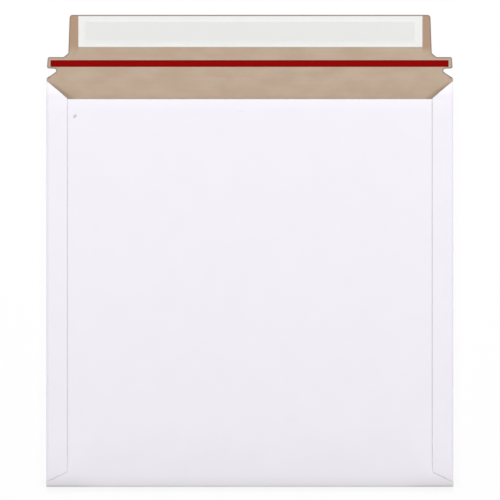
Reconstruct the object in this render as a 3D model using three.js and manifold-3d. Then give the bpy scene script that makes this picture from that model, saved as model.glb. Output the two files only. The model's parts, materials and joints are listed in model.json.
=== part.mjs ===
// Card mailer for a twelve inch record, lying on its address side with the closing flap open.
// One sheet of solid board is folded into the pocket; the closing flap goes on from its score.
// X runs across the pocket, Y from the bottom crease to the flap, Z up from the table. Millimetres.

import * as THREE from "three";
import { mergeVertices } from "three/addons/utils/BufferGeometryUtils.js";
import Module from "manifold-3d";

const wasm = await Module();
wasm.setup();

// Board and pocket
const BOARD = 0.7; // thickness of the sheet
const POCKET_WIDTH = 324; // over the two side creases
const POCKET_HEIGHT = 325; // bottom crease to the score of the closing flap
const POCKET_DEPTH = 4.6; // clear space between the address panel and the back panel
const MOUTH_SETBACK = 16.4; // free edge of the back panel, below the score

// Creases
const SIDE_PITCH = THREE.MathUtils.degToRad(40); // how steeply a side fold runs up to its crease
const BOTTOM_PITCH = THREE.MathUtils.degToRad(52); // the same for the bottom fold
const CREASE_ROUND = 0.7; // length of the rounding on each side of a crease
const SHOULDER_ROUND = 1.4; // length of the rounding where the address panel turns into a fold
const SIDE_ROUND = 2.3; // length of the rounding where a side flap turns down to its crease
const BELLY_ROUND = 14; // soft bend of the back panel above the bottom crease
const BEND_STEPS = 8; // straight pieces in each bend

// Side flaps
const SIDE_FLAP_WIDTH = 16.7; // side crease to free edge
const SIDE_FLAP_FOOT = 4.4; // bottom crease to the lower end of a side flap
const SIDE_FLAP_TAPER = 7.9; // rise of that lower end towards the free edge
const SIDE_FLAP_CORNER = 1.6; // radius of the lower free corner
const SIDE_FLAP_POINT = 0.6; // radius of the corner at the mouth
const MITRE_DROP = 1.3; // score to the mitre, at the side crease
const MITRE_LIFT = 0.5; // mouth to the mitre, at the free edge
const FOOT_SLIT = 0.4; // cut between a side fold and the bottom fold
const PANEL_EASE = 0.6; // edge of the flat panels to the start of a side fold
const FOLD_LAP = 2; // length of the address panel that is drawn with a side fold

// Seam glue
const GLUE = 0.1; // thickness of the glue line
const GLUE_WIDTH = 6;
const GLUE_MARGIN = 3.2; // free edge of a side flap to the glue
const GLUE_END = 4; // mouth, or end of the soft bend, to the glue

// Closing flap
const FLAP_HEIGHT = 51.2; // score to top edge
const FLAP_CLEARANCE = 0.35; // side of the flap to the free edge of a side flap
const FLAP_TAPER = 1.1; // how far each side of the flap leans in at the top
const FLAP_CORNER = 2.4; // radius of the two top corners
const CHAMFER_RUN = 3.4; // slanted corner between a tear tab and the flap's side, along the tab
const CHAMFER_RISE = 3.9; // the same, along the flap's side
const CHAMFER_ROUND = 1.5; // radius at both ends of that slant
const TAB_FOOT = 8.6; // score to the lower edge of a tear tab
const TAB_HEIGHT = 8.95;
const TAB_INSET = 0.15; // side crease to the lower end of a tab
const TAB_TAPER = 0.7; // how far the end of a tab leans in at its top
const TAB_CORNER = 1.5; // radius of the tab corners
const NOTCH_DEPTH = 11.7; // side crease to the sharp end of a notch
const NOTCH_DROP = 0.45; // lower edge of a tab to that end
const NOTCH_ROUND = 1.6; // radius that blunts it
const WING_RISE = 1; // score to the upper end of the blunt tip of a wing
const WING_TIP = 0.5; // radius of that end
const SCORE_SLIT = 0.3; // clearance between pocket and flap along the score
const CLOSED_GAP = 0.3; // clearance under the tear tape when the flap is closed
const ARC_STEPS = 4; // curve divisions in each rounded corner

// Tear tape
const TAPE = 0.1; // thickness
const TAPE_WIDTH = 4.9;
const TAPE_LIFT = 1.35; // lower edge of a tab to the tape
const TAPE_INSET = 3.1; // lower end of a tab to the end of the tape

// Adhesive strip and its release liner
const LINER = 0.1; // thickness
const LINER_WIDTH = 24.6;
const LINER_MARGIN = 1; // top edge of the flap to the liner
const LINER_INSET = 6.95; // top corner of the flap to the end of the liner
const ADHESIVE = 0.15; // thickness
const LINER_LIP = 4.7; // liner past the long sides of the adhesive
const LINER_GRIP = 5.6; // liner past the ends of the adhesive

// Levels that follow from the sizes
const HALF_WIDTH = POCKET_WIDTH / 2;
const BOTTOM_Y = -(POCKET_HEIGHT + FLAP_HEIGHT) / 2;
const SCORE_Y = BOTTOM_Y + POCKET_HEIGHT;
const MOUTH_Y = SCORE_Y - MOUTH_SETBACK;
const POCKET_END_Y = SCORE_Y - SCORE_SLIT / 2;
const FOOT_Y = BOTTOM_Y + SIDE_FLAP_FOOT;
const FLAP_EDGE = HALF_WIDTH - SIDE_FLAP_WIDTH;
const ADDRESS_MIDDLE = BOARD / 2;
const BACK_MIDDLE = ADDRESS_MIDDLE + BOARD + POCKET_DEPTH;
const SIDE_MIDDLE = BACK_MIDDLE + BOARD + GLUE;
const SIDE_TOP = SIDE_MIDDLE + BOARD / 2;
const SIDE_CREASE = (ADDRESS_MIDDLE + SIDE_MIDDLE) / 2;
const SIDE_FOLD_RUN = (SIDE_MIDDLE - ADDRESS_MIDDLE) / 2 / Math.tan(SIDE_PITCH);
const PANEL_EDGE = HALF_WIDTH - BOARD / 2 - SIDE_FOLD_RUN - SHOULDER_ROUND - PANEL_EASE;
const TAB_TOP = TAB_FOOT + TAB_HEIGHT;
const TAB_END = HALF_WIDTH - TAB_INSET;
const FLAP_SIDE = FLAP_EDGE - FLAP_CLEARANCE;
const FLAP_TOP_SIDE = FLAP_SIDE - FLAP_TAPER;
const TAPE_LENGTH = 2 * (TAB_END - TAPE_INSET);
const TAPE_MIDDLE = TAB_FOOT + TAPE_LIFT + TAPE_WIDTH / 2;
const LINER_LENGTH = 2 * (FLAP_TOP_SIDE - LINER_INSET);
const SEAL_MIDDLE = FLAP_HEIGHT - LINER_MARGIN - LINER_WIDTH / 2;
const ADHESIVE_LENGTH = LINER_LENGTH - 2 * LINER_GRIP;
const ADHESIVE_WIDTH = LINER_WIDTH - 2 * LINER_LIP;
const HINGE_Z = (BOARD + SIDE_TOP + TAPE + CLOSED_GAP) / 2;
const CLEAR = 1; // how far a cutting solid stands past what it cuts

const whiteBoard = new THREE.MeshStandardMaterial({ color: 0xf3f0f7, roughness: 0.55, metalness: 0 });
const kraftBoard = new THREE.MeshStandardMaterial({ color: 0xc0aa95, roughness: 0.85, metalness: 0 });
const redFilm = new THREE.MeshStandardMaterial({ color: 0x8f0404, roughness: 0.3, metalness: 0 });
const linerPaper = new THREE.MeshStandardMaterial({ color: 0xf0f0ee, roughness: 0.4, metalness: 0 });
const clearGum = new THREE.MeshStandardMaterial({ color: 0xd9d6cc, roughness: 0.3, metalness: 0 });
const paleGlue = new THREE.MeshStandardMaterial({ color: 0xd8cdb4, roughness: 0.6, metalness: 0 });

// A geometry as a solid that can be joined and cut.
function solid(geometry) {
  geometry.deleteAttribute("normal");
  geometry.deleteAttribute("uv");
  const merged = mergeVertices(geometry);
  const vertProperties = merged.attributes.position.array;
  const triVerts = new Uint32Array(merged.index.array);
  return new wasm.Manifold(new wasm.Mesh({ numProp: 3, vertProperties, triVerts }));
}

// A joined or cut solid as a geometry.
function geometryOf(made) {
  const mesh = made.getMesh();
  const geometry = new THREE.BufferGeometry();
  geometry.setAttribute("position", new THREE.BufferAttribute(mesh.vertProperties, 3));
  geometry.setIndex(new THREE.BufferAttribute(mesh.triVerts, 1));
  return geometry;
}

// A flat outline in X and Y, raised from one level to another.
function plate(outline, low, high) {
  const options = { depth: high - low, bevelEnabled: false, curveSegments: ARC_STEPS };
  return new THREE.ExtrudeGeometry(outline, options).translate(0, 0, low);
}

// An upright rectangle between two corners of a plan.
function block(x1, x2, y1, y2, low, high) {
  const box = new THREE.BoxGeometry(Math.abs(x2 - x1), y2 - y1, high - low);
  return box.translate((x1 + x2) / 2, (y1 + y2) / 2, (low + high) / 2);
}

// A closed outline through corners [x, y, radius], each rounded by an arc.
function roundedOutline(corners) {
  const outline = new THREE.Shape();
  const points = corners.map(([x, y]) => new THREE.Vector2(x, y));
  corners.forEach(([, , radius], i) => {
    const here = points[i];
    const back = points.at(i - 1).clone().sub(here).normalize();
    const ahead = points[(i + 1) % points.length].clone().sub(here).normalize();
    const half = Math.acos(back.dot(ahead)) / 2;
    const reach = radius / Math.tan(half);
    const centre = back.clone().add(ahead).setLength(radius / Math.sin(half)).add(here);
    const from = back.clone().multiplyScalar(reach).add(here).sub(centre).angle();
    const to = ahead.clone().multiplyScalar(reach).add(here).sub(centre).angle();
    outline.absarc(centre.x, centre.y, radius, from, to, back.cross(ahead) > 0);
  });
  return outline;
}

// The outline of a bent sheet of board whose middle follows a path.
function sheetOutline(path) {
  const middle = path.getPoints(BEND_STEPS);
  const runs = middle.slice(1).map((point, i) => point.clone().sub(middle[i]).normalize());
  const mitres = middle.map((point, i) => {
    const before = runs[Math.max(i - 1, 0)];
    const after = runs[Math.min(i, runs.length - 1)];
    const along = before.clone().add(after).normalize();
    return new THREE.Vector2(-along.y, along.x).multiplyScalar(BOARD / 2 / along.dot(after));
  });
  const upper = middle.map((point, i) => point.clone().add(mitres[i]));
  const lower = middle.map((point, i) => point.clone().sub(mitres[i]));
  return new THREE.Shape(lower.concat(upper.reverse()));
}

// The middle of a fold: out along a lower panel, round the crease and back along an upper panel.
// It is drawn with the crease at the right, and outer is how far out the board reaches there.
function foldPath(start, end, outer, lowLevel, highLevel, highRound, pitch) {
  const rise = (highLevel - lowLevel) / 2;
  const run = rise / Math.tan(pitch);
  const room = Math.hypot(run, rise) / 2;
  const creaseRun = Math.min(CREASE_ROUND, room) * Math.cos(pitch);
  const creaseRise = Math.min(CREASE_ROUND, room) * Math.sin(pitch);
  const shoulderRun = Math.min(SHOULDER_ROUND, room) * Math.cos(pitch);
  const shoulderRise = Math.min(SHOULDER_ROUND, room) * Math.sin(pitch);
  const turnRun = Math.min(highRound, room) * Math.cos(pitch);
  const turnRise = Math.min(highRound, room) * Math.sin(pitch);
  const tip = outer - BOARD / 2 + creaseRun / 2;
  const shoulder = tip - run;
  const level = lowLevel + rise;
  const path = new THREE.Path();
  path.moveTo(start, lowLevel);
  path.lineTo(shoulder - SHOULDER_ROUND, lowLevel);
  path.quadraticCurveTo(shoulder, lowLevel, shoulder + shoulderRun, lowLevel + shoulderRise);
  path.lineTo(tip - creaseRun, level - creaseRise);
  path.quadraticCurveTo(tip, level, tip - creaseRun, level + creaseRise);
  path.lineTo(shoulder + turnRun, highLevel - turnRise);
  path.quadraticCurveTo(shoulder, highLevel, shoulder - highRound, highLevel);
  path.lineTo(end, highLevel);
  return path;
}

// Address panel, bottom fold and back panel: the fold is drawn towards the bottom, then swept across.
function wrapSolid() {
  const levels = [ADDRESS_MIDDLE, BACK_MIDDLE];
  const path = foldPath(-SCORE_Y, -MOUTH_Y, -BOTTOM_Y, ...levels, BELLY_ROUND, BOTTOM_PITCH);
  const options = { depth: POCKET_WIDTH, bevelEnabled: false };
  const swept = new THREE.ExtrudeGeometry(sheetOutline(path), options);
  const across = new THREE.Vector3(-1, 0, 0);
  const towardsBottom = new THREE.Vector3(0, -1, 0);
  const up = new THREE.Vector3(0, 0, 1);
  swept.applyMatrix4(new THREE.Matrix4().makeBasis(towardsBottom, up, across));
  swept.translate(HALF_WIDTH, 0, 0);
  return solid(swept);
}

// The room beside the flat panels that a side fold takes up. Side is 1 at the right and -1 at the left.
// Above the crease its lower end runs along the taper of the side flap.
function sideRoom(side) {
  const outside = side * (HALF_WIDTH + CLEAR);
  const foot = FOOT_Y - FOOT_SLIT;
  const end = SCORE_Y + CLEAR;
  const rise = (SIDE_FLAP_TAPER * (HALF_WIDTH - PANEL_EDGE)) / SIDE_FLAP_WIDTH;
  const corners = [
    [outside, foot, 0],
    [outside, end, 0],
    [side * PANEL_EDGE, end, 0],
    [side * PANEL_EDGE, foot + rise, 0],
    [side * HALF_WIDTH, foot, 0],
  ];
  const lower = block(side * PANEL_EDGE, outside, foot, end, -CLEAR, SIDE_CREASE);
  return solid(lower).add(solid(plate(roundedOutline(corners), SIDE_CREASE, SIDE_TOP + CLEAR)));
}

// A side fold with its flap, which is mitred at the mouth and tapered at its lower end.
function sideSolid(side) {
  const start = PANEL_EDGE - FOLD_LAP;
  const levels = [ADDRESS_MIDDLE, SIDE_MIDDLE];
  const path = foldPath(start, FLAP_EDGE, HALF_WIDTH, ...levels, SIDE_ROUND, SIDE_PITCH);
  const options = { depth: SCORE_Y - FOOT_Y, bevelEnabled: false };
  const swept = new THREE.ExtrudeGeometry(sheetOutline(path), options);
  swept.rotateX(Math.PI / 2).translate(0, SCORE_Y, 0);
  if (side < 0) swept.rotateZ(Math.PI).translate(0, FOOT_Y + SCORE_Y, 0);
  const outside = HALF_WIDTH + CLEAR;
  const mitreTop = POCKET_END_Y - MITRE_DROP;
  const corners = [
    [side * outside, FOOT_Y, 0],
    [side * outside, mitreTop, 0],
    [side * HALF_WIDTH, mitreTop, 0],
    [side * FLAP_EDGE, MOUTH_Y + MITRE_LIFT, SIDE_FLAP_POINT],
    [side * FLAP_EDGE, FOOT_Y + SIDE_FLAP_TAPER, SIDE_FLAP_CORNER],
    [side * HALF_WIDTH, FOOT_Y, 0],
  ];
  const top = SIDE_TOP + CLEAR;
  const end = SCORE_Y + CLEAR;
  const over = block(side * (FLAP_EDGE - CLEAR), side * outside, BOTTOM_Y, end, SIDE_CREASE, top);
  const kept = plate(roundedOutline(corners), -CLEAR, top + CLEAR);
  return solid(swept).subtract(solid(over).subtract(solid(kept)));
}

// The folded sheet, cut off just below the score.
function pocketMesh() {
  const panels = wrapSolid().subtract(sideRoom(1)).subtract(sideRoom(-1));
  const outside = HALF_WIDTH + CLEAR;
  const slit = block(-outside, outside, POCKET_END_Y, SCORE_Y + CLEAR, -CLEAR, SIDE_TOP + CLEAR);
  const folded = panels.add(sideSolid(1)).add(sideSolid(-1)).subtract(solid(slit));
  const mesh = new THREE.Mesh(geometryOf(folded), whiteBoard);
  mesh.name = "mailer_pocket";
  return mesh;
}

// The glue line between a side flap and the back panel.
function glueMesh(name, side) {
  const low = BOTTOM_Y + BELLY_ROUND + GLUE_END + SIDE_FLAP_FOOT;
  const geometry = new THREE.BoxGeometry(GLUE_WIDTH, MOUTH_Y - GLUE_END - low, GLUE);
  const mesh = new THREE.Mesh(geometry, paleGlue);
  mesh.name = name;
  const x = FLAP_EDGE + GLUE_MARGIN + GLUE_WIDTH / 2;
  mesh.position.set(side * x, (MOUTH_Y - GLUE_END + low) / 2, BACK_MIDDLE + BOARD / 2 + GLUE / 2);
  return mesh;
}

// The closing flap from its score up: wings, notches, tear tabs and the flap proper.
function flapMesh() {
  const rightHalf = [
    [HALF_WIDTH, SCORE_SLIT / 2, 0],
    [HALF_WIDTH, WING_RISE, WING_TIP],
    [HALF_WIDTH - NOTCH_DEPTH, TAB_FOOT - NOTCH_DROP, NOTCH_ROUND],
    [TAB_END, TAB_FOOT, TAB_CORNER],
    [TAB_END - TAB_TAPER, TAB_TOP, TAB_CORNER],
    [FLAP_SIDE + CHAMFER_RUN, TAB_TOP, CHAMFER_ROUND],
    [FLAP_SIDE, TAB_TOP + CHAMFER_RISE, CHAMFER_ROUND],
    [FLAP_TOP_SIDE, FLAP_HEIGHT, FLAP_CORNER],
  ];
  const leftHalf = rightHalf.map(([x, y, radius]) => [-x, y, radius]).reverse();
  const mesh = new THREE.Mesh(plate(roundedOutline(rightHalf.concat(leftHalf)), 0, BOARD), kraftBoard);
  mesh.name = "closing_flap";
  mesh.position.z = -HINGE_Z;
  return mesh;
}

// A strip on the kraft face of the flap, its middle at a height above the score.
function stripMesh(name, material, length, width, thickness, middle, lift) {
  const mesh = new THREE.Mesh(new THREE.BoxGeometry(length, width, thickness), material);
  mesh.name = name;
  mesh.position.set(0, middle, BOARD + lift + thickness / 2 - HINGE_Z);
  return mesh;
}

function tapeMesh() {
  return stripMesh("tear_tape", redFilm, TAPE_LENGTH, TAPE_WIDTH, TAPE, TAPE_MIDDLE, 0);
}

function adhesiveMesh() {
  return stripMesh("adhesive_strip", clearGum, ADHESIVE_LENGTH, ADHESIVE_WIDTH, ADHESIVE, SEAL_MIDDLE, 0);
}

// The liner lies on the adhesive, so it is that much above the board.
function linerMesh() {
  return stripMesh("release_liner", linerPaper, LINER_LENGTH, LINER_WIDTH, LINER, SEAL_MIDDLE, ADHESIVE);
}

// The flap turns about a line in the score, half way up the closed mailer.
const flap = new THREE.Group();
flap.name = "flap";
flap.position.set(0, SCORE_Y, HINGE_Z);
flap.add(flapMesh());
flap.add(tapeMesh());
flap.add(adhesiveMesh());
flap.add(linerMesh());

const mailer = new THREE.Group();
mailer.name = "record_mailer";
mailer.add(pocketMesh());
mailer.add(glueMesh("left_seam_glue", -1));
mailer.add(glueMesh("right_seam_glue", 1));
mailer.add(flap);

export default mailer;
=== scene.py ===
"""Looks of a card mailer for a twelve inch record, lying flat with its closing flap open.

The board is one folded sheet from the mouth round to the top of the flap, scored where the flap
turns.
X runs across the pocket, Y from the bottom crease to the flap, Z up from the table. Metres.
"""

import json
import math

import bmesh
import bpy
import numpy as np
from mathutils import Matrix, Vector
from mathutils.geometry import delaunay_2d_cdt


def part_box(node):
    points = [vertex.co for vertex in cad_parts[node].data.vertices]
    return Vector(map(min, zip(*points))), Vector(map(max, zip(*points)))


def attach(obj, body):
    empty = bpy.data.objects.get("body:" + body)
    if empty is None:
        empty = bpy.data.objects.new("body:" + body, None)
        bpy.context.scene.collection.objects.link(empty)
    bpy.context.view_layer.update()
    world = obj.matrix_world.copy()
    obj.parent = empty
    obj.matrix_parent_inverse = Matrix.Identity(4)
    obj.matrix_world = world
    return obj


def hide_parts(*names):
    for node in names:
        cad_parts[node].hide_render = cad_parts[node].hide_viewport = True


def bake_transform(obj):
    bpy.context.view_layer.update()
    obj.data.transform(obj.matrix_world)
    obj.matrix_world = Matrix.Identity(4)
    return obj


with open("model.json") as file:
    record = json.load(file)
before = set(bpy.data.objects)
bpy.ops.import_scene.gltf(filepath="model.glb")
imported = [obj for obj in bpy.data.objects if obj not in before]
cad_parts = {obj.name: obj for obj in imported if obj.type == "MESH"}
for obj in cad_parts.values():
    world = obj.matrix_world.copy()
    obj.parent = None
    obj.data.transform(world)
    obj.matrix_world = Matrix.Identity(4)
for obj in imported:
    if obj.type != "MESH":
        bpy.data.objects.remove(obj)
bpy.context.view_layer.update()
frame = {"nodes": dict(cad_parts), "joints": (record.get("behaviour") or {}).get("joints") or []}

MM = 0.001

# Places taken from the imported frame
POCKET_LOW, POCKET_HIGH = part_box("mailer_pocket")
FLAP_LOW, FLAP_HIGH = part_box("closing_flap")
TAPE_LOW, TAPE_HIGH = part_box("tear_tape")
GUM_LOW, GUM_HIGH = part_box("adhesive_strip")
LINER_LOW, LINER_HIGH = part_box("release_liner")
GLUE_LOW, GLUE_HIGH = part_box("right_seam_glue")
SCORE_Y = frame["joints"][0]["pos_m"][1]
HALF_WIDTH = POCKET_HIGH.x
BOTTOM_Y = POCKET_LOW.y
BOARD = FLAP_HIGH.z - FLAP_LOW.z
ADDRESS_MIDDLE = BOARD / 2
BACK_MIDDLE = GLUE_LOW.z - BOARD / 2
SIDE_MIDDLE = POCKET_HIGH.z - BOARD / 2

# Creases
SIDE_PITCH = math.radians(40)  # how steeply the inside of a side fold opens
SIDE_CREASE_LIFT = 0.8 * MM  # from half way up a side fold to its crease
SIDE_SHOULDER_PITCH = math.radians(45)  # how steeply a side flap runs down to its crease
BOTTOM_PITCH = math.radians(52)  # how steeply the bottom fold runs up to its crease
BOTTOM_SHOULDER_PITCH = math.radians(60)  # how steeply the back panel runs down to it
CREASE_ROUND = 0.9 * MM  # length of the rounding on each side of a crease
SHOULDER_ROUND = 1.4 * MM  # length of the rounding where the address panel turns into a fold
SIDE_ROUND = 2.3 * MM  # length of the rounding where a side flap turns down to its crease
BELLY_ROUND = 14 * MM  # soft bend of the back panel above the bottom crease
BEND_STEPS = 10  # straight pieces in each bend, an even number

# Pocket
MOUTH_SETBACK = 16.4 * MM  # free edge of the back panel, below the score
SIDE_FLAP_WIDTH = 16.7 * MM  # side crease to free edge
SIDE_FLAP_FOOT = 4.4 * MM  # bottom crease to the lower end of a side flap
SIDE_FLAP_TAPER = 7.9 * MM  # rise of that lower end towards the free edge
SIDE_FLAP_CORNER = 1.6 * MM  # radius of the lower free corner
SIDE_FLAP_POINT = 0.6 * MM  # radius of the corner at the mouth
MITRE_DROP = 1.95 * MM  # score to the mitre, at the side crease
MITRE_LIFT = 0.7 * MM  # mouth to the mitre, at the free edge
FOOT_SLIT = 0.15 * MM  # cut between a side fold and the bottom fold
PANEL_EASE = 0.6 * MM  # edge of the flat panels to the start of a side fold
SIDE_FOLD_RUN = (SIDE_MIDDLE - ADDRESS_MIDDLE) / 2 / math.tan(SIDE_PITCH)
PANEL_EDGE = HALF_WIDTH - BOARD / 2 - SIDE_FOLD_RUN - SHOULDER_ROUND - PANEL_EASE
MOUTH_Y = SCORE_Y - MOUTH_SETBACK
FOOT_Y = BOTTOM_Y + SIDE_FLAP_FOOT
FLAP_EDGE = HALF_WIDTH - SIDE_FLAP_WIDTH
SLIT_Y = FOOT_Y - FOOT_SLIT
EAR_RISE = SIDE_FLAP_TAPER * (HALF_WIDTH - PANEL_EDGE) / SIDE_FLAP_WIDTH

# Closing flap, measured from the score
FLAP_HEIGHT = FLAP_HIGH.y - SCORE_Y
FLAP_CLEARANCE = 0.35 * MM  # side of the flap to the free edge of a side flap
FLAP_TAPER = 1.1 * MM  # how far each side of the flap leans in at the top
FLAP_SIDE = FLAP_EDGE - FLAP_CLEARANCE  # half width of the flap just above its tabs
FLAP_TOP_SIDE = FLAP_SIDE - FLAP_TAPER  # half width of the flap at its top
FLAP_CORNER = 2.4 * MM  # radius of the two top corners
FLAP_SHIFT = 0.2 * MM  # how far the flap above its tabs sits to the right
CHAMFER_RUN = 3.7 * MM  # slanted corner between a tear tab and the flap's side, along the tab
CHAMFER_RISE = 3.1 * MM  # the same, along the flap's side
CHAMFER_ROUND = 1.5 * MM  # radius at both ends of that slant
TAB_FOOT = 8.6 * MM  # lower edge of a tear tab
TAB_TOP = 17.55 * MM  # its upper edge
TAB_INSET = 0.15 * MM  # side crease to the lower end of a tab
TAB_END = HALF_WIDTH - TAB_INSET
TAB_TAPER = 0.7 * MM  # how far the end of a tab leans in at its top
TAB_CORNER = 1.5 * MM  # radius of the tab corners
NOTCH_DEPTH = 11 * MM  # side crease to the sharp end of a notch
NOTCH_DROP = 0.45 * MM  # lower edge of a tab to that end
NOTCH_ROUND = 1.6 * MM  # radius that blunts it
WING_RISE = 1 * MM  # height of the blunt tip of a wing
WING_TIP = 1.6 * MM  # radius of that tip
BEND_ZONE = 3 * MM  # board on each side of the score that bends on the real mailer when the flap turns; here it sets the close rows of points

# How the board settles
BELLY_SAG = 2.25 * MM  # how far the back panel sinks towards the bottom crease
BELLY_REACH = 52 * MM  # from the bottom crease, at the middle of the panel
BELLY_SIDE_SAG = 1.3 * MM  # how far it sinks under the side flaps, where glue holds it
BELLY_SIDE_REACH = 16 * MM
GLUE_HOLD_START = 25 * MM  # from a side flap's free edge inwards, where the glue begins to hold
GLUE_HOLD_SPAN = 22 * MM
LIP_SAG = 0.5 * MM  # how far the mouth edge curls in
LIP_REACH = 9 * MM
FLAP_REST = 0.96  # share of the back panel's sinking that a side flap on it follows
FOOT_PRESS = 0.44 * MM  # how far the foot of a side flap is pressed into the back panel
FOOT_REACH = 18 * MM  # length of side flap over which that fades
FOOT_EASE = 2 * MM  # width over which the panel gives way under it
REST_GAP = 0.03 * MM  # underside of a side flap to what it rests on
GLUE_MARGIN = 2 * MM  # strip round the seam glue where a side flap keeps above its level
CORNER_SETTLE = 0.5  # share of its height that a side fold loses at the score
CORNER_REACH = 14 * MM
WING_REACH = 5 * MM  # length of a wing that still leans up to the side crease

# How the tape and the liner were laid
FILM_SHARE = 0.7  # thickness of the film, as a share of the tape's; the rest is its crown
CROWN_POWER = 4  # how square the crown is
TAPE_SHIFT = -0.2 * MM  # to the right
TAPE_SPREAD = 0.2 * MM  # how far the pressed film spreads beyond each of its edges
LINER_SHIFT = 0.48 * MM  # to the right
LINER_OVER = 0.32 * MM  # how far the paper reaches past its measure at each end
LINER_END = LINER_HIGH.x + LINER_OVER
LINER_GAP = 0.02 * MM  # paper to what it lies on
LINER_DRAPE = 2.6 * MM  # width over which the paper comes down from the adhesive
GUM_BLUR = 2.4 * MM  # width over which the adhesive fades where it shows through

# The nick in the back panel
NICK_X = -139.1 * MM
NICK_Y = 106.7 * MM
NICK_DEPTH = 0.3 * MM
NICK_LENGTH = 1.9 * MM
NICK_WIDTH = 1.2 * MM
NICK_TURN = math.radians(56)
NICK_REACH = 4 * MM  # extent of the fine mesh round it

# Shade painted on the outer face along the bottom crease, darker towards the crease
CREASE_SHADE_REACH = 12 * MM

# Darker strips of kraft at the two ends of the release liner
STRIP_EASE = 1 * MM  # width over which a strip begins at the liner's end
STRIP_FADE = 5 * MM  # length over which it fades below the liner

# Mesh
PANEL_STEP = 6 * MM  # spacing of points on the flat panels
FINE_STEP = 0.5 * MM  # spacing of points round the nick
CLOSE_STEP = 1 * MM  # spacing of rows near the score and the feet, and of columns on an ear
EAR_STEP = 0.8 * MM  # spacing of rows up the slanted edge of an ear
LIP_STEP = 1.5 * MM  # spacing of rows at the mouth
SIDE_STEP = 2 * MM  # spacing of columns on a side flap and of rows on the liner
DRAPE_STEP = 0.4 * MM  # spacing of points where the liner comes down
FOOT_FIELD = 8 * MM  # length of a side flap that has close rows, above its rim
BEND_FIELD = 2 * BEND_ZONE  # height of the closing flap that has close rows
RIM = 1.2 * MM  # width of board along a cut that is coloured darker; on the white face that is partly a knife bruise and partly painted shade
FIELD_INSET = 3 * RIM  # cut edge of the closing flap to the points within it
SEAT_START = FLAP_EDGE - RIM  # strip of the side flaps that is laid on what they rest on
SEAT_END = PANEL_EDGE + 2 * RIM
LEAST_BOARD = BOARD / 4  # board left above its seat; the panel that is the seat has none
WELD = 0.01 * MM  # points closer than this are one
ARC_STEPS = 6  # pieces in each rounded corner
FOOT_ARC = math.radians(64)  # turn of the round at the lower free corner of a side flap
SHARP_ANGLE = math.radians(40)  # an edge that turns by more is shaded as sharp
INSIDE_ONLY = 1  # what the triangulation gives: the faces inside its outline
EASE_ROUNDS = 20  # times the inner face is looked over for bends that are too tight
EASE_STEP = 0.9  # share of its depth that it keeps there each time
EASE_LEFT = 0.15  # share of its length that an edge keeps on the inner face
EASE_REACH = 2 * MM  # distance over which the inner face comes back to its full depth
TAPE_ROW = 0.2  # spacing of rows across the tape, as a share of half its width

# Span of a noise that holds nearly all its values
NOISE_LOW = 0.3
NOISE_HIGH = 0.7

# Colours, linear
WHITE = (0.895, 0.866, 0.931)
KRAFT = (0.509, 0.388, 0.290)
KRAFT_GREEN = (0.474, 0.388, 0.281)  # its mottling
KRAFT_PINK = (0.543, 0.388, 0.300)
KRAFT_DULL = (0.476, 0.352, 0.252)  # its blotches
KRAFT_PALE = (0.542, 0.424, 0.328)
BLOTCH_SHARE = 0.62  # weight of the blotches against the mottling
DARKER_STRIP_KRAFT = (0.440, 0.295, 0.205)
CORE = (0.395, 0.365, 0.330)
KRAFT_CUT_DARK = (0.238, 0.180, 0.153)
SCUFF_AND_SHADE = (0.525, 0.503, 0.540)
CREASE_SHADE_COLOUR = (0.765, 0.755, 0.780)
RED = (0.275, 0.0012, 0.0012)
LINER = (0.850, 0.851, 0.832)
LINER_ON_GUM = (0.781, 0.783, 0.768)
GUM = (0.690, 0.670, 0.600)
GLUE = (0.680, 0.610, 0.460)

# Camera and light
PIXELS = 500
PIXEL = 0.7961 * MM  # width of a photo pixel at the level of the creases
CENTRE_X = 249.8  # photo column of the mailer's middle
CENTRE_Y = 250.65  # photo row of the mailer's middle
LENS = 150  # millimetres
SENSOR = 36
LAMPS = {  # place, size and power of each soft box
    "key": ((0, 2.35, 2.1), 0.8, 48.3),
    "left_fill": ((-1.15, 0.15, 1.15), 0.5, 6.8),
    "right_fill": ((1.15, 0.15, 1.15), 0.5, 7.3),
}
DOME = 0.30  # light of the room on the object
FLOOR_SIZE = 12
FLOOR_GAP = 0.1 * MM
FLOOR_GLOW = 0.8  # share of the floor that the camera sees as plain white


def smooth(value):
    """Ease from 0 to 1."""
    value = np.clip(value, 0, 1)
    return value * value * (3 - 2 * value)


def spread(start, end, step):
    """Even stations from start to end, about a step apart."""
    return list(np.linspace(start, end, max(2, round(abs(end - start) / step) + 1)))


def stations(*groups):
    """All stations in order, with those that nearly meet taken once."""
    found = []
    for value in sorted(value for group in groups for value in group):
        if not found or value - found[-1] > WELD:
            found.append(value)
    return found


def bend(start, corner, end):
    """Points of a rounded bend from start to end, pulled towards a corner."""
    t = np.linspace(0, 1, BEND_STEPS + 1)[:, None]
    return (1 - t) ** 2 * start + 2 * t * (1 - t) * corner + t * t * end


def fold_line(outer, levels, low_run, high_pitch, high_round):
    """Middle of a fold as (out, up): from a low panel round the crease to a high panel."""
    low, middle, high = levels
    low_pitch = math.atan2(middle - low, low_run)
    high_run = (high - middle) / math.tan(high_pitch)
    turn = min(high_round, math.hypot(high_run, high - middle) / 2)
    ahead = np.array([math.cos(low_pitch), math.sin(low_pitch)])
    back = np.array([-math.cos(high_pitch), math.sin(high_pitch)])
    blunt = CREASE_ROUND * ahead[0] * back[0] / (back[0] - ahead[0])
    tip = np.array([outer - BOARD / 2 + blunt, middle])
    low_corner = tip - (low_run, middle - low)
    high_corner = tip + (-high_run, high - middle)
    lower = bend(low_corner - (SHOULDER_ROUND, 0), low_corner, low_corner + SHOULDER_ROUND * ahead)
    crease = bend(tip - CREASE_ROUND * ahead, tip, tip + CREASE_ROUND * back)
    upper = bend(high_corner - turn * back, high_corner, high_corner - (high_round, 0))
    return np.concatenate([lower, crease, upper])


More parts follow.
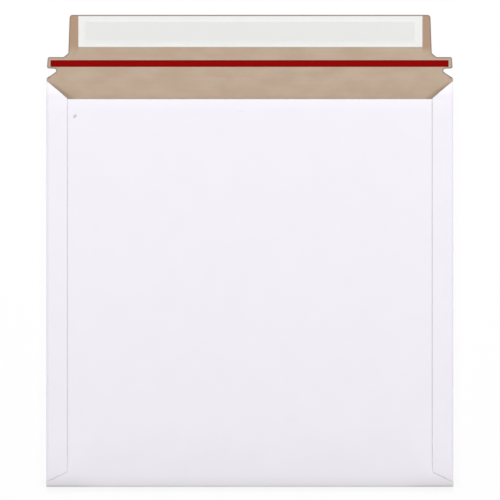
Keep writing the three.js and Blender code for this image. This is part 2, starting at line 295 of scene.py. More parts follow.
SIDE_LEVELS = (ADDRESS_MIDDLE, (ADDRESS_MIDDLE + SIDE_MIDDLE) / 2 + SIDE_CREASE_LIFT, SIDE_MIDDLE)
SIDE_FOLD = fold_line(HALF_WIDTH, SIDE_LEVELS, SIDE_FOLD_RUN, SIDE_SHOULDER_PITCH, SIDE_ROUND)
CREASE_AT = BEND_STEPS + 1 + BEND_STEPS // 2  # place of the crease in a fold line
CREASE_X, SIDE_CREASE_Z = SIDE_FOLD[CREASE_AT]
BOTTOM_CREASE_Z = (ADDRESS_MIDDLE + BACK_MIDDLE) / 2
BOTTOM_LEVELS = (ADDRESS_MIDDLE, BOTTOM_CREASE_Z, BACK_MIDDLE)
BOTTOM_FOLD_RUN = (BOTTOM_CREASE_Z - ADDRESS_MIDDLE) / math.tan(BOTTOM_PITCH)
BOTTOM_FOLD = fold_line(
    -BOTTOM_Y, BOTTOM_LEVELS, BOTTOM_FOLD_RUN, BOTTOM_SHOULDER_PITCH, BELLY_ROUND
)


def above(z, crease, top):
    """How far up the upper half of a fold a level is, from 0 to 1."""
    return np.clip((z - crease) / (top - crease), 0, 1)


def back_level(y):
    """Level of the back panel's middle before it settles, from the bottom crease up."""
    return np.interp(y, -BOTTOM_FOLD[CREASE_AT:, 0], BOTTOM_FOLD[CREASE_AT:, 1])


def nick_share(x, y):
    """How deep in the nick a place of the back panel is, from 0 to 1."""
    across, up = x - NICK_X, y - NICK_Y
    along = across * math.cos(NICK_TURN) + up * math.sin(NICK_TURN)
    aside = up * math.cos(NICK_TURN) - across * math.sin(NICK_TURN)
    return math.exp(-((along / NICK_LENGTH) ** 2) - (aside / NICK_WIDTH) ** 2)


def back_drop(x, y):
    """How far the back panel lies below its flat level."""
    at_side = smooth((abs(x) - FLAP_EDGE + GLUE_HOLD_START) / GLUE_HOLD_SPAN)
    reach = BELLY_REACH + (BELLY_SIDE_REACH - BELLY_REACH) * at_side
    sag = BELLY_SAG + (BELLY_SIDE_SAG - BELLY_SAG) * at_side
    belly = sag * max(0, 1 - (y - BOTTOM_Y) / reach) ** 2
    lip = LIP_SAG * max(0, 1 - (MOUTH_Y - y) / LIP_REACH) ** 2
    return belly + lip + NICK_DEPTH * nick_share(x, y)


def crease_shade_share(y, z):
    """How much shade is painted on the outer face at a place near the bottom crease, from 0 to 1.
    """
    return max(0, 1 - (y - BOTTOM_Y) / CREASE_SHADE_REACH) ** 2 if z > BOTTOM_CREASE_Z - BOARD else 0


def foot_rise(x, y):
    """How far a place lies above the slanted foot of a side flap."""
    return y - FOOT_Y - SIDE_FLAP_TAPER * (HALF_WIDTH - abs(x)) / SIDE_FLAP_WIDTH


def foot_press(x, y):
    """How far a side flap is pressed down at a place near its foot."""
    return FOOT_PRESS * (1 - smooth(foot_rise(x, y) / FOOT_REACH))


def wrap_point(x, y, z):
    """A point of the address panel, bottom fold and back panel, settled."""
    from_foot = np.clip(foot_rise(x, y) / FOOT_EASE, 0, 1)
    from_edge = np.clip((abs(x) - FLAP_EDGE) / FOOT_EASE, 0, 1)
    drop = back_drop(x, y) + from_foot * from_edge * foot_press(x, y)
    return (x, y, z - drop * above(z, BOTTOM_CREASE_Z, BACK_MIDDLE))


def corner_height(y):
    """Share of its height that a side fold has, which it loses towards the score."""
    return 1 - CORNER_SETTLE * smooth((y - SCORE_Y + CORNER_REACH) / CORNER_REACH)


def side_point(side, x, y, z):
    """A point of a side fold and its flap, settled. Side is 1 at the right and -1 at the left."""
    below = min(y, MOUTH_Y)
    level = back_level(below)
    settled = back_drop(x, below) * above(level, BOTTOM_CREASE_Z, BACK_MIDDLE)
    sunk = FLAP_REST * (BACK_MIDDLE - level + settled) + foot_press(x, y)
    up = (z - ADDRESS_MIDDLE) * corner_height(y) - sunk * above(z, SIDE_CREASE_Z, SIDE_MIDDLE)
    return (side * x, y, ADDRESS_MIDDLE + up)


def flap_point(x, y):
    """A point of the closing flap: its wings lean up to the side creases."""
    out, up = SIDE_FOLD[: CREASE_AT + 1].T
    lift = np.interp(abs(x), out, up) - ADDRESS_MIDDLE
    fading = 1 - smooth((y - SCORE_Y) / WING_REACH)
    return (x, y, ADDRESS_MIDDLE + lift * corner_height(SCORE_Y) * fading)


def add_grid(surface, rows, flip):
    """Quads through rows of points."""
    points = [[surface.verts.new(place) for place in row] for row in rows]
    for near, far in zip(points, points[1:]):
        for i in range(len(near) - 1):
            corners = [near[i], near[i + 1], far[i + 1], far[i]]
            surface.faces.new(corners[::-1] if flip else corners)


def row_shares():
    """Rows from the feet of the side flaps to the score, as shares of that length."""
    length = SCORE_Y - FOOT_Y
    near_score = spread(length - CORNER_REACH, length, CLOSE_STEP)
    near_foot = spread(RIM, RIM + FOOT_FIELD, CLOSE_STEP)
    between = spread(near_foot[-1], length - CORNER_REACH, PANEL_STEP)
    rows = stations([0, length - RIM], near_foot, between, near_score)
    return np.array(rows) / length


def add_wrap(surface, shares):
    """Address panel, bottom fold and back panel, with the two ears at the bottom corners."""
    address = [(y, ADDRESS_MIDDLE) for y in FOOT_Y + shares[::-1] * (SCORE_Y - FOOT_Y)]
    bottom = [(-out, z) for out, z in BOTTOM_FOLD if -out < SLIT_Y - WELD]
    ear_rows = spread(SLIT_Y, SLIT_Y + EAR_RISE, EAR_STEP)
    belly_rows = [-out for out, _ in BOTTOM_FOLD[CREASE_AT:] if -out > ear_rows[-1] + WELD]
    foot_rows = spread(ear_rows[-1], FOOT_Y + SIDE_FLAP_TAPER + FOOT_REACH, CLOSE_STEP)[1:]
    belly = [(y, back_level(y)) for y in stations(belly_rows, foot_rows)]
    nick = spread(NICK_Y - NICK_REACH, NICK_Y + NICK_REACH, FINE_STEP)
    lip = [*spread(MOUTH_Y - LIP_REACH, MOUTH_Y - RIM, LIP_STEP), MOUTH_Y]
    flat = stations(spread(belly[-1][0], MOUTH_Y - LIP_REACH, PANEL_STEP)[1:], nick, lip)
    turn = [(SLIT_Y, ADDRESS_MIDDLE)] + bottom
    path = address + turn + [(y, back_level(y)) for y in ear_rows] + belly
    path += [(y, BACK_MIDDLE) for y in flat]
    fine = spread(NICK_X - NICK_REACH, NICK_X + NICK_REACH, FINE_STEP)
    under = spread(FLAP_EDGE, PANEL_EDGE - RIM, FOOT_EASE)
    edges = [*under, PANEL_EDGE]
    between = spread(-FLAP_EDGE, FLAP_EDGE, PANEL_STEP)
    panel = stations(between, edges, [-x for x in edges], fine)
    add_grid(surface, [[wrap_point(x, y, z) for x in panel] for y, z in path], False)
    within = spread(PANEL_EDGE, HALF_WIDTH - RIM, CLOSE_STEP)
    ear = stations([PANEL_EDGE + RIM], within, [HALF_WIDTH])
    ear_width = HALF_WIDTH - PANEL_EDGE
    for columns in (ear, [-x for x in reversed(ear)]):
        rows = [[wrap_point(x, y, z) for x in columns] for y, z in turn]
        for y in ear_rows:
            slant = [SLIT_Y + (y - SLIT_Y) * (HALF_WIDTH - abs(x)) / ear_width for x in columns]
            levels = back_level(slant)
            rows.append([wrap_point(*place) for place in zip(columns, slant, levels)])
        add_grid(surface, rows, False)


def rounded_end(inset, slope, radius):
    """Rise of a side flap's end from its free corner, at a distance in from the free edge."""
    slant = math.hypot(1, slope)
    if inset >= radius * (1 - slope / slant):
        return slope * inset
    return slope * radius - radius * slant + math.sqrt(radius**2 - (inset - radius) ** 2)


def add_side(surface, side, shares):
    """A side fold with its flap, mitred at the mouth and tapered at its foot."""
    reach = CREASE_X - FLAP_EDGE
    taper = SIDE_FLAP_TAPER / reach
    mitre = (MOUTH_SETBACK - MITRE_DROP - MITRE_LIFT) / reach
    corner = list(SIDE_FLAP_CORNER * (1 - np.cos(np.linspace(0, FOOT_ARC, ARC_STEPS))))
    flat = spread(corner[-1], SIDE_FOLD[-1, 0] - FLAP_EDGE, SIDE_STEP)[:-1]
    insets = stations(corner, [RIM], flat)
    outline = [(PANEL_EDGE, ADDRESS_MIDDLE)] + [tuple(point) for point in SIDE_FOLD]
    outline += [(FLAP_EDGE + inset, SIDE_MIDDLE) for inset in reversed(insets)]
    columns = []
    for i, (x, z) in enumerate(outline):
        low, high = FOOT_Y, SCORE_Y
        if i > CREASE_AT + 1:
            inset = x - FLAP_EDGE
            low = FOOT_Y + SIDE_FLAP_TAPER - rounded_end(inset, taper, SIDE_FLAP_CORNER)
            high = MOUTH_Y + MITRE_LIFT + rounded_end(inset, mitre, SIDE_FLAP_POINT)
        columns.append([side_point(side, x, low + (high - low) * share, z) for share in shares])
    add_grid(surface, list(zip(*columns)), side > 0)


def rounded_outline(corners):
    """Points along corners (x, y, radius) of an open line, each inner corner rounded by an arc."""
    points = [np.array(corners[0][:2])]
    for before, (x, y, radius), after in zip(corners, corners[1:], corners[2:]):
        here = np.array([x, y])
        back = np.array(before[:2]) - here
        ahead = np.array(after[:2]) - here
        back, ahead = back / np.linalg.norm(back), ahead / np.linalg.norm(ahead)
        half = math.acos(np.dot(back, ahead)) / 2
        middle = (back + ahead) / np.linalg.norm(back + ahead)
        centre = here + middle * radius / math.sin(half)
        first = here + back * radius / math.tan(half) - centre
        sweep = (math.pi - 2 * half) * np.sign(back[0] * ahead[1] - back[1] * ahead[0])
        for share in np.linspace(0, 1, ARC_STEPS + 1):
            c, s = math.cos(-sweep * share), math.sin(-sweep * share)
            points.append(centre + (c * first[0] - s * first[1], s * first[0] + c * first[1]))
    return points + [np.array(corners[-1][:2])]


def filled(points, step):
    """The same line with points added where they lie further apart than a step."""
    line = []
    for start, end in zip(points, points[1:]):
        pieces = max(1, math.ceil(np.linalg.norm(end - start) / step))
        line += [start + (end - start) * i / pieces for i in range(pieces)]
    return line + [points[-1]]


def half_outline(side):
    """Corners (x, y, radius) of the closing flap's cut edge, from a wing's tip up to the top."""
    wing = [
        (CREASE_X, 0, 0),
        (CREASE_X, WING_RISE, WING_TIP),
        (HALF_WIDTH - NOTCH_DEPTH, TAB_FOOT - NOTCH_DROP, NOTCH_ROUND),
        (TAB_END, TAB_FOOT, TAB_CORNER),
        (TAB_END - TAB_TAPER, TAB_TOP, TAB_CORNER),
    ]
    upper = [
        (FLAP_SIDE + CHAMFER_RUN, TAB_TOP, CHAMFER_ROUND),
        (FLAP_SIDE, TAB_TOP + CHAMFER_RISE, CHAMFER_ROUND),
        (FLAP_TOP_SIDE, FLAP_HEIGHT, FLAP_CORNER),
    ]
    placed = [(side * x, y, radius) for x, y, radius in wing]
    placed += [(side * x + FLAP_SHIFT, y, radius) for x, y, radius in upper]
    return [(x, SCORE_Y + y, radius) for x, y, radius in placed]


def flap_outline():
    """The cut edge of the closing flap, from the right wing's tip round to the left one's."""
    line = rounded_outline(half_outline(1) + half_outline(-1)[::-1])
    return filled(line, PANEL_STEP / 2)


def inside(x, y, outline):
    """Whether a place is inside a closed outline."""
    found = False
    for (x1, y1), (x2, y2) in zip(outline, outline[1:] + outline[:1]):
        if (y1 > y) != (y2 > y) and x < x1 + (y - y1) / (y2 - y1) * (x2 - x1):
            found = not found
    return found


def inset_line(line, distance):
    """A line moved to the left of its own run."""
    moved = []
    for before, here, after in zip(line, line[1:], line[2:]):
        along = (after - before) / np.linalg.norm(after - before)
        moved.append(here + distance * np.array([-along[1], along[0]]))
    return moved


def gap_to(point, line):
    """Distance from a point to a line of straight pieces."""
    gaps = []
    for start, end in zip(line, line[1:]):
        run = end - start
        share = np.clip(np.dot(point - start, run) / np.dot(run, run), 0, 1)
        gaps.append(np.linalg.norm(point - start - share * run))
    return min(gaps)


def darker_strip_share(x, y):
    """How dark the kraft is at a place beside the ends of the liner, from 0 to 1."""
    across = smooth((abs(x - LINER_SHIFT) - LINER_END) / STRIP_EASE + 0.5)
    return across * smooth((y - LINER_LOW.y) / STRIP_FADE + 1)


def add_flap(surface, score_row):
    """The closing flap from its score up."""
    edge = flap_outline()
    closed = edge + [np.array([x, SCORE_Y]) for x in score_row[1:-1]]
    inner = [point for point in inset_line(edge, RIM) if point[1] > SCORE_Y + RIM]
    rim = [point for point in inner if gap_to(point, edge) > RIM - WELD]
    within = inset_line(edge, FIELD_INSET)
    bend_top = SCORE_Y + BEND_FIELD
    far_rows = [y for y in spread(SCORE_Y, FLAP_HIGH.y, PANEL_STEP) if y > bend_top]
    field = []
    for y in stations(spread(SCORE_Y + CLOSE_STEP, bend_top, CLOSE_STEP), far_rows):
        columns = score_row if y <= bend_top else score_row[::2]
        field += [(x, y) for x in columns if inside(x, y, within)]
    strips = [LINER_END - STRIP_EASE / 2, LINER_END + STRIP_EASE / 2]
    heights = spread(LINER_LOW.y - STRIP_FADE, FLAP_HIGH.y - STRIP_FADE, STRIP_FADE)
    stain = [(side * x + LINER_SHIFT, y) for side in (1, -1) for x in strips for y in heights]
    places = [Vector(place) for place in [*closed, *rim, *field, *stain]]
    ring = list(range(len(closed)))
    found, _, faces, *_ = delaunay_2d_cdt(places, [], [ring], INSIDE_ONLY, WELD / 10)
    points = [surface.verts.new(flap_point(x, y)) for x, y in found]
    for face in faces:
        surface.faces.new([points[i] for i in reversed(face)])


def inner_face(surface, shift):
    """Points of the inner face, nearer to the middle where a bend is too tight for the board."""
    points = np.array([vert.co for vert in surface.verts])
    ends = np.array([[vert.index for vert in edge.verts] for edge in surface.edges])
    run = points[ends[:, 1]] - points[ends[:, 0]]
    length = np.linalg.norm(run, axis=1)
    share = np.ones(len(points))
    for _ in range(EASE_ROUNDS):
        inner = points - share[:, None] * shift
        kept = np.sum((inner[ends[:, 1]] - inner[ends[:, 0]]) * run, axis=1) / length**2
        share[np.unique(ends[kept < EASE_LEFT])] *= EASE_STEP
        for near, far in ((0, 1), (1, 0)):
            np.minimum.at(share, ends[:, near], share[ends[:, far]] + length / EASE_REACH)
    return [Vector(place) for place in points - share[:, None] * shift]


def keep(mesh, name, values):
    """Keeps a number at each point of a mesh, for its materials."""
    mesh.attributes.new(name, "FLOAT", "POINT").data.foreach_set("value", values)


def thin_piece(name, surface, thickness, materials):
    """A piece from its middle surface: outer face, inner face and the cut edge between them."""
    bmesh.ops.remove_doubles(surface, verts=surface.verts, dist=WELD)
    surface.verts.index_update()
    surface.normal_update()
    count = len(surface.verts)
    shift = [vert.normal * vert.calc_shell_factor() * thickness / 2 for vert in surface.verts]
    outer = [vert.co + shift[vert.index] for vert in surface.verts]
    inner = inner_face(surface, np.array(shift))
    front = [[vert.index for vert in face.verts] for face in surface.faces]
    back = [[count + i for i in reversed(face)] for face in front]
    cut = []
    cut_darkening = np.zeros(2 * count, np.float32)
    for edge in surface.edges:
        if edge.is_boundary:
            loop = edge.link_loops[0]
            a, b = loop.vert.index, loop.link_loop_next.vert.index
            cut.append([b, a, count + a, count + b])
            cut_darkening[[a, b, count + a, count + b]] = 1
    mesh = bpy.data.meshes.new(name)
    mesh.from_pydata(outer + inner, [], front + back + cut)
    sides = [0] * len(front) + [1] * len(back) + [2] * len(cut)
    mesh.polygons.foreach_set("material_index", sides)
    keep(mesh, "rim", cut_darkening)
    mesh.shade_smooth()
    mesh.set_sharp_from_angle(angle=SHARP_ANGLE)
    for material in materials:
        mesh.materials.append(material)
    piece = bpy.data.objects.new(name, mesh)
    bpy.context.scene.collection.objects.link(piece)
    surface.free()
    return piece


def flap_seat(x, y):
    """Level of what a side flap rests on at a place: the back panel or the seam glue."""
    panel = wrap_point(x, y, back_level(y))[2] + BOARD / 2
    across = GLUE_LOW.x - GLUE_MARGIN < abs(x) < GLUE_HIGH.x + GLUE_MARGIN
    along = GLUE_LOW.y - GLUE_MARGIN < y < GLUE_HIGH.y + GLUE_MARGIN
    return REST_GAP + (max(panel, GLUE_HIGH.z) if across and along else panel)


def rest_side_flaps(board):
    """Lifts the underside of the side flaps where it would pass into what they rest on."""
    points = board.data.vertices
    count = len(points) // 2
    for outer, inner in zip(points[:count], points[count:]):
        x, y, z = inner.co
        if SEAT_START < abs(x) < SEAT_END:
            seat = flap_seat(x, y)
            if z < seat < outer.co.z - LEAST_BOARD:
                inner.co.z = seat


def make_board():
    """The folded sheet: pocket and closing flap in one piece."""
    surface = bmesh.new()
    shares = row_shares()
    add_wrap(surface, shares)
    add_side(surface, 1, shares)
    add_side(surface, -1, shares)
    ends = [vert.co for vert in surface.verts if abs(vert.co.y - SCORE_Y) < WELD]
    row = [end.x for end in ends if end.z < SIDE_CREASE_Z and abs(end.x) < CREASE_X + WELD]
    add_flap(surface, stations(row))
    materials = [white_board(), kraft_board(), cut_edge()]
    board = thin_piece("mailer_board", surface, BOARD, materials)
    rest_side_flaps(board)
    points = [vert.co for vert in board.data.vertices]
    # grey scuff in the nick, partly painted shade of the dent
    scuff_and_shade_share = [nick_share(p.x, p.y) if p.z > BOTTOM_CREASE_Z else 0 for p in points]
    keep(board.data, "scuff", scuff_and_shade_share)
    # painted shade along the bottom crease
    keep(board.data, "soil", [crease_shade_share(p.y, p.z) for p in points])
    keep(board.data, "stain", [darker_strip_share(p.x, p.y) for p in points])
    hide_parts("mailer_pocket", "closing_flap")
    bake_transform(board)


def make_tape():
    """The red tear tape: a thin film, a little crowned across its width."""
    surface = bmesh.new()
    thickness = FILM_SHARE * (TAPE_HIGH.z - TAPE_LOW.z)
    middle = (TAPE_LOW.y + TAPE_HIGH.y) / 2
    half = (TAPE_HIGH.y - TAPE_LOW.y) / 2 + TAPE_SPREAD
    left, right = TAPE_LOW.x + TAPE_SHIFT, TAPE_HIGH.x + TAPE_SHIFT
    columns = stations([left + RIM, right - RIM], spread(left, right, PANEL_STEP))
    across = [-1, *spread(RIM / half - 1, 1 - RIM / half, TAPE_ROW), 1]
    crown = TAPE_HIGH.z - TAPE_LOW.z - thickness
    rows = []
    for share in across:
        z = TAPE_LOW.z + thickness / 2 + crown * (1 - share**CROWN_POWER)
        rows.append([(x, middle + half * share, z) for x in columns])
    add_grid(surface, rows, False)
    film = red_film()
    tape = thin_piece("tear_tape_film", surface, thickness, [film, film, film])
    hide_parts("tear_tape")
    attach(tape, "flap")


def on_gum(x, y, ease, middle):
    """How far on the adhesive a place is, from 0 to 1: a share called middle at its outline."""
    along = smooth((GUM_HIGH.x - abs(x)) / ease + middle)
    across = smooth(min(GUM_HIGH.y - y, y - GUM_LOW.y) / ease + middle)
    return along * across


def make_liner():
    """The release liner, draped over the adhesive strip."""
    surface = bmesh.new()
    thickness = LINER_HIGH.z - LINER_LOW.z
    gum = LINER_LOW.z - GUM_LOW.z
    ease = spread(-LINER_DRAPE, GUM_BLUR / 2, DRAPE_STEP)
    left, right = LINER_SHIFT - LINER_END, LINER_SHIFT + LINER_END
    ends = [GUM_HIGH.x - value for value in ease]
    cuts = [*spread(left, right, PANEL_STEP), left + RIM, right - RIM]
    columns = stations(cuts, ends, [-x for x in ends])
    low_edge = [GUM_LOW.y + value for value in ease]
    high_edge = [GUM_HIGH.y - value for value in ease]
    rims = [LINER_LOW.y, LINER_LOW.y + RIM, LINER_HIGH.y - RIM, LINER_HIGH.y]
    lines = stations(rims, low_edge, high_edge, spread(LINER_LOW.y, LINER_HIGH.y, SIDE_STEP))
    level = GUM_LOW.z + thickness / 2 + LINER_GAP
    rows = [[(x, y, level + gum * on_gum(x, y, LINER_DRAPE, 1)) for x in columns] for y in lines]
    add_grid(surface, rows, False)
    paper = liner_paper()
    liner = thin_piece("release_liner_paper", surface, thickness, [paper, paper, paper])
    shaded = [on_gum(vert.co.x, vert.co.y, GUM_BLUR, 0.5) for vert in liner.data.vertices]
    keep(liner.data, "on_gum", shaded)
    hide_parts("release_liner")
    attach(liner, "flap")


class Shader:
    """A material under construction: short ways to add the nodes that these materials share."""

    def __init__(self, name):
        self.material = bpy.data.materials.new(name)
        self.material.use_nodes = True
        self.tree = self.material.node_tree
        self.surface = self.tree.nodes["Principled BSDF"]
        self.place = self.add("ShaderNodeTexCoord", {}).outputs["Object"]

    def add(self, kind, inputs, **settings):
        """A node with its settings; an input is a value or another node's output."""
        made = self.tree.nodes.new(kind)
        for name, value in settings.items():
            setattr(made, name, value)
        for name, value in inputs.items():
            self.put(made.inputs[name], value)
        return made

    def put(self, socket, value):
        """Sets a socket to a value or joins it to an output."""
        if isinstance(value, bpy.types.NodeSocket):
            self.tree.links.new(value, socket)
        else:
            socket.default_value = value

    def noise(self, size, detail=3, stretch=(1, 1, 1)):
        """Grain of a size in metres, longer along the axes that are stretched."""
        scale = tuple(1 / (size * value) for value in stretch)
        placed = self.add("ShaderNodeMapping", {"Vector": self.place, "Scale": scale})
        inputs = {"Vector": placed.outputs["Vector"], "Scale": 1, "Detail": detail}
        return self.add("ShaderNodeTexNoise", inputs).outputs["Fac"]

    def ramp(self, value, low=NOISE_LOW, high=NOISE_HIGH, to_low=0, to_high=1):
        """A value's span from low to high laid out from to_low to to_high."""
        inputs = {"Value": value, "From Min": low, "From Max": high}
        inputs.update({"To Min": to_low, "To Max": to_high})
        return self.add("ShaderNodeMapRange", inputs).outputs["Result"]

    def blend(self, share, first, second):
        """Two colours mixed by a share."""
        made = self.add("ShaderNodeMix", {"Factor": share}, data_type="RGBA")
        for socket, value in ((made.inputs[6], first), (made.inputs[7], second)):
            self.put(socket, value if isinstance(value, bpy.types.NodeSocket) else (*value, 1))
        return made.outputs[2]

    def attribute(self, name):
        """A number kept at the points of the mesh."""
        return self.add("ShaderNodeAttribute", {}, attribute_name=name).outputs["Fac"]

    def sum(self, *shares):
        """Weighted sum of values, from pairs of value and weight."""
        total = 0
        for value, weight in shares:
            inputs = {0: value, 1: weight, 2: total}
            total = self.add("ShaderNodeMath", inputs, operation="MULTIPLY_ADD").outputs["Value"]
        return total

    def finish(self, colour, roughness, height, depth, specular):
        """Joins colour, roughness and a relief of some depth to the surface."""
        inputs = {"Height": height, "Distance": depth, "Strength": 1}
        relief = self.add("ShaderNodeBump", inputs)
        self.put(self.surface.inputs["Base Color"], colour)
        self.put(self.surface.inputs["Roughness"], roughness)
        self.put(self.surface.inputs["Normal"], relief.outputs["Normal"])
        self.surface.inputs["Specular IOR Level"].default_value = specular
        return self.material


def tinted(colour, amount):
    """A colour made lighter or darker."""
    return tuple(min(1, value * amount) for value in colour)


def white_board():
    """Bleached outer face: smooth coated paper with a trace of fibre; greyer along its cuts,
    partly a knife bruise and partly painted shade; painted shade along the bottom crease; a grey
    scuff with painted shade in the nick.
    """
    shader = Shader("white_board")
    cloud = shader.noise(22 * MM)
    fibre = shader.noise(0.5 * MM, detail=4, stretch=(3, 1, 1))
    grain = shader.noise(0.16 * MM, detail=2)
    # painted shade along the cuts: the white face greyer there, partly a knife bruise and partly
    # the shade of the thin lines at its edges
    cut_darkening = shader.ramp(shader.attribute("rim"), low=0.6, high=1, to_high=0.3)
    scuff_and_shade_share = shader.ramp(shader.attribute("scuff"), low=0.2, high=0.9)
    fibres = shader.ramp(fibre, low=0.62, high=0.8, to_high=0.12)
    colour = shader.blend(shader.ramp(cloud), tinted(WHITE, 0.992), tinted(WHITE, 1.006))
    colour = shader.blend(fibres, colour, tinted(WHITE, 0.9))
    colour = shader.blend(cut_darkening, colour, tinted(WHITE, 0.66))
    # painted shade: the outer face greyer towards the bottom crease
    colour = shader.blend(shader.attribute("soil"), colour, CREASE_SHADE_COLOUR)
    # a grey scuff in the nick, partly painted shade of the dent
    colour = shader.blend(scuff_and_shade_share, colour, SCUFF_AND_SHADE)
    roughness = shader.ramp(fibre, to_low=0.52, to_high=0.62)
    height = shader.sum((fibre, 0.6), (grain, 0.4))
    return shader.finish(colour, roughness, height, depth=0.02 * MM, specular=0.25)


def kraft_board():
    """Brown inner face: mottled, streaked as the machine ran, with fibres and a few specks."""
    shader = Shader("kraft_board")
    cloud = shader.noise(6.5 * MM, detail=4, stretch=(2, 1, 1))
    blotch = shader.noise(11 * MM, stretch=(2.2, 1, 1))
    streak = shader.noise(1.6 * MM, stretch=(40, 1, 1))
    fibre = shader.noise(0.35 * MM, detail=5, stretch=(5, 1, 1))
    speck = shader.noise(1.3 * MM, detail=2)
    mottled = shader.ramp(cloud, low=0.38, high=0.62)
    blotched = shader.ramp(blotch, low=0.37, high=0.63)
    streaks = shader.ramp(streak, low=0.3, high=0.75, to_high=0.5)
    fibres = shader.ramp(fibre, low=0.55, high=0.78, to_high=0.35)
    specks = shader.ramp(speck, low=0.74, high=0.78, to_high=0.6)
    cut_darkening = shader.ramp(shader.attribute("rim"), low=0, high=0.8)
    warm = shader.blend(mottled, KRAFT_GREEN, KRAFT_PINK)
    tone = shader.blend(blotched, KRAFT_DULL, KRAFT_PALE)
    colour = shader.blend(BLOTCH_SHARE, warm, tone)
    colour = shader.blend(streaks, colour, tinted(KRAFT, 0.93))
    colour = shader.blend(fibres, colour, tinted(KRAFT, 1.16))
    colour = shader.blend(specks, colour, tinted(KRAFT, 0.6))
    # darker strips of kraft beside the ends of the liner
    colour = shader.blend(shader.attribute("stain"), colour, DARKER_STRIP_KRAFT)
    # darker along the cut edges
    colour = shader.blend(cut_darkening, colour, KRAFT_CUT_DARK)
    roughness = shader.ramp(fibre, to_low=0.78, to_high=0.92)
    height = shader.sum((fibre, 0.7), (streak, 0.3))
    return shader.finish(colour, roughness, height, depth=0.04 * MM, specular=0.2)


def cut_edge():
    """Knife-cut edge of the board: grey-brown core in thin plies."""
    shader = Shader("cut_edge")
    ply = shader.noise(0.14 * MM, detail=2, stretch=(30, 30, 1))
    fibre = shader.noise(0.12 * MM)
    plies = shader.ramp(ply, low=0.35, high=0.65)
    colour = shader.blend(plies, tinted(CORE, 0.86), tinted(CORE, 1.25))
    roughness = shader.ramp(fibre, to_low=0.85, to_high=0.95)
    height = shader.sum((ply, 0.6), (fibre, 0.4))
    return shader.finish(colour, roughness, height, depth=0.04 * MM, specular=0.15)


def red_film():
    """Glossy red film with drawn lines along it and darker edges."""
    shader = Shader("red_film")
    line = shader.noise(0.25 * MM, detail=2, stretch=(200, 1, 1))
    cloud = shader.noise(9 * MM, detail=2, stretch=(4, 1, 1))
    colour = shader.blend(shader.ramp(line), tinted(RED, 0.95), tinted(RED, 1.04))
    colour = shader.blend(shader.attribute("rim"), colour, tinted(RED, 0.62))
    roughness = shader.ramp(cloud, to_low=0.24, to_high=0.32)
    return shader.finish(colour, roughness, line, depth=0.006 * MM, specular=0.04)


def liner_paper():
    """Smooth release paper, greyer where the adhesive shows through."""
    shader = Shader("liner_paper")
    cloud = shader.noise(12 * MM, stretch=(2, 1, 1))
    grain = shader.noise(0.3 * MM)
    colour = shader.blend(shader.attribute("on_gum"), LINER, LINER_ON_GUM)
    colour = shader.blend(shader.ramp(cloud, to_high=0.3), colour, tinted(LINER, 0.93))
    roughness = shader.ramp(grain, to_low=0.38, to_high=0.46)
    return shader.finish(colour, roughness, grain, depth=0.01 * MM, specular=0.15)


def tacky(name, colour, roughness):
    """A film of adhesive, rippled and a little uneven in colour."""
    shader = Shader(name)
    cloud = shader.noise(4 * MM, stretch=(2, 1, 1))
    ripple = shader.noise(0.7 * MM, detail=2)
    mixed = shader.blend(shader.ramp(cloud), tinted(colour, 0.92), tinted(colour, 1.06))
    rough = shader.ramp(ripple, to_low=roughness - 0.06, to_high=roughness + 0.06)
    return shader.finish(mixed, rough, ripple, depth=0.03 * MM, specular=0.3)


def dress_solids():
    """Materials for the solids that stay as they are: adhesive and seam glue."""
    gum = tacky("adhesive_film", GUM, roughness=0.3)
    glue = tacky("seam_glue_film", GLUE, roughness=0.55)
    films = {"adhesive_strip": gum, "left_seam_glue": glue, "right_seam_glue": glue}
    for node, material in films.items():
        mesh = frame["nodes"][node].data
        mesh.materials.clear()
        mesh.materials.append(material)


def background_rays(tree):
    """1 for rays that see the white background: from the camera, off gloss or through glass."""
    path = tree.nodes.new("ShaderNodeLightPath")
    total = path.outputs["Is Camera Ray"]
    for name in ("Is Glossy Ray", "Is Transmission Ray"):
        either = tree.nodes.new("ShaderNodeMath")
        either.operation = "MAXIMUM"
        tree.links.new(total, either.inputs[0])
        tree.links.new(path.outputs[name], either.inputs[1])
        total = either.outputs["Value"]
    return total


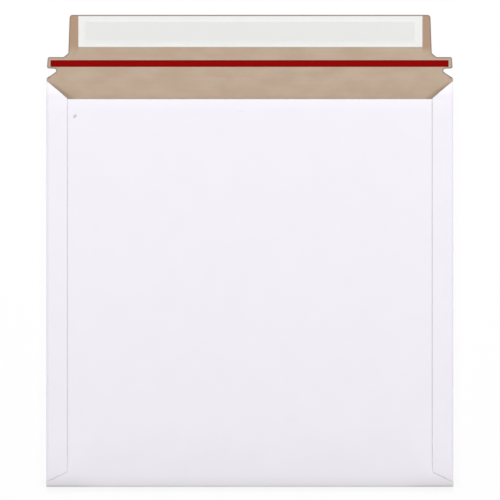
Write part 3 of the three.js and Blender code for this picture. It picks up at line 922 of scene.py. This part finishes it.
def make_floor():
    """A white table that keeps the object's shadow."""
    mesh = bpy.data.meshes.new("floor")
    half = FLOOR_SIZE / 2
    corners = [(-half, -half), (half, -half), (half, half), (-half, half)]
    mesh.from_pydata([(x, y, -FLOOR_GAP) for x, y in corners], [], [[0, 1, 2, 3]])
    shader = Shader("floor_white")
    tree = shader.tree
    shader.surface.inputs["Base Color"].default_value = (1, 1, 1, 1)
    shader.surface.inputs["Roughness"].default_value = 1
    shader.surface.inputs["Specular IOR Level"].default_value = 0
    share = shader.ramp(background_rays(tree), low=0, high=1, to_high=FLOOR_GLOW)
    glow = shader.add("ShaderNodeEmission", {"Color": (1, 1, 1, 1), "Strength": 1})
    inputs = {0: share, 1: shader.surface.outputs["BSDF"], 2: glow.outputs["Emission"]}
    mixed = shader.add("ShaderNodeMixShader", inputs)
    tree.links.new(mixed.outputs["Shader"], tree.nodes["Material Output"].inputs["Surface"])
    mesh.materials.append(shader.material)
    floor = bpy.data.objects.new("floor", mesh)
    bpy.context.scene.collection.objects.link(floor)


def make_world():
    """An even room light, and white where the camera sees past the floor."""
    world = bpy.data.worlds.new("room")
    world.use_nodes = True
    bpy.context.scene.world = world
    tree = world.node_tree
    sky = tree.nodes["Background"]
    sky.inputs["Color"].default_value = (1, 1, 1, 1)
    level = tree.nodes.new("ShaderNodeMapRange")
    level.inputs["To Min"].default_value = DOME
    level.inputs["To Max"].default_value = 1
    tree.links.new(background_rays(tree), level.inputs["Value"])
    tree.links.new(level.outputs["Result"], sky.inputs["Strength"])


def make_lamps():
    """Three soft boxes: the key beyond the flap and a fill at each side."""
    for name, (place, size, power) in LAMPS.items():
        light = bpy.data.lights.new(name, "AREA")
        light.energy = power
        light.size = size
        lamp = bpy.data.objects.new(name, light)
        lamp.location = place
        lamp.rotation_euler = (-Vector(place)).to_track_quat("-Z", "Y").to_euler()
        lamp.visible_camera = False
        bpy.context.scene.collection.objects.link(lamp)


def make_camera():
    """Straight down, framed as the photo is, with the flap at the top."""
    data = bpy.data.cameras.new("camera")
    data.lens = LENS
    data.sensor_width = SENSOR
    camera = bpy.data.objects.new("camera", data)
    distance = PIXELS * PIXEL * LENS / SENSOR
    x = (PIXELS / 2 - CENTRE_X) * PIXEL
    y = (CENTRE_Y - PIXELS / 2) * PIXEL
    camera.location = (x, y, SIDE_CREASE_Z + distance)
    bpy.context.scene.collection.objects.link(camera)
    bpy.context.scene.camera = camera


make_board()
make_tape()
make_liner()
dress_solids()
make_floor()
make_world()
make_lamps()
make_camera()
bpy.context.scene.view_settings.view_transform = "Standard"
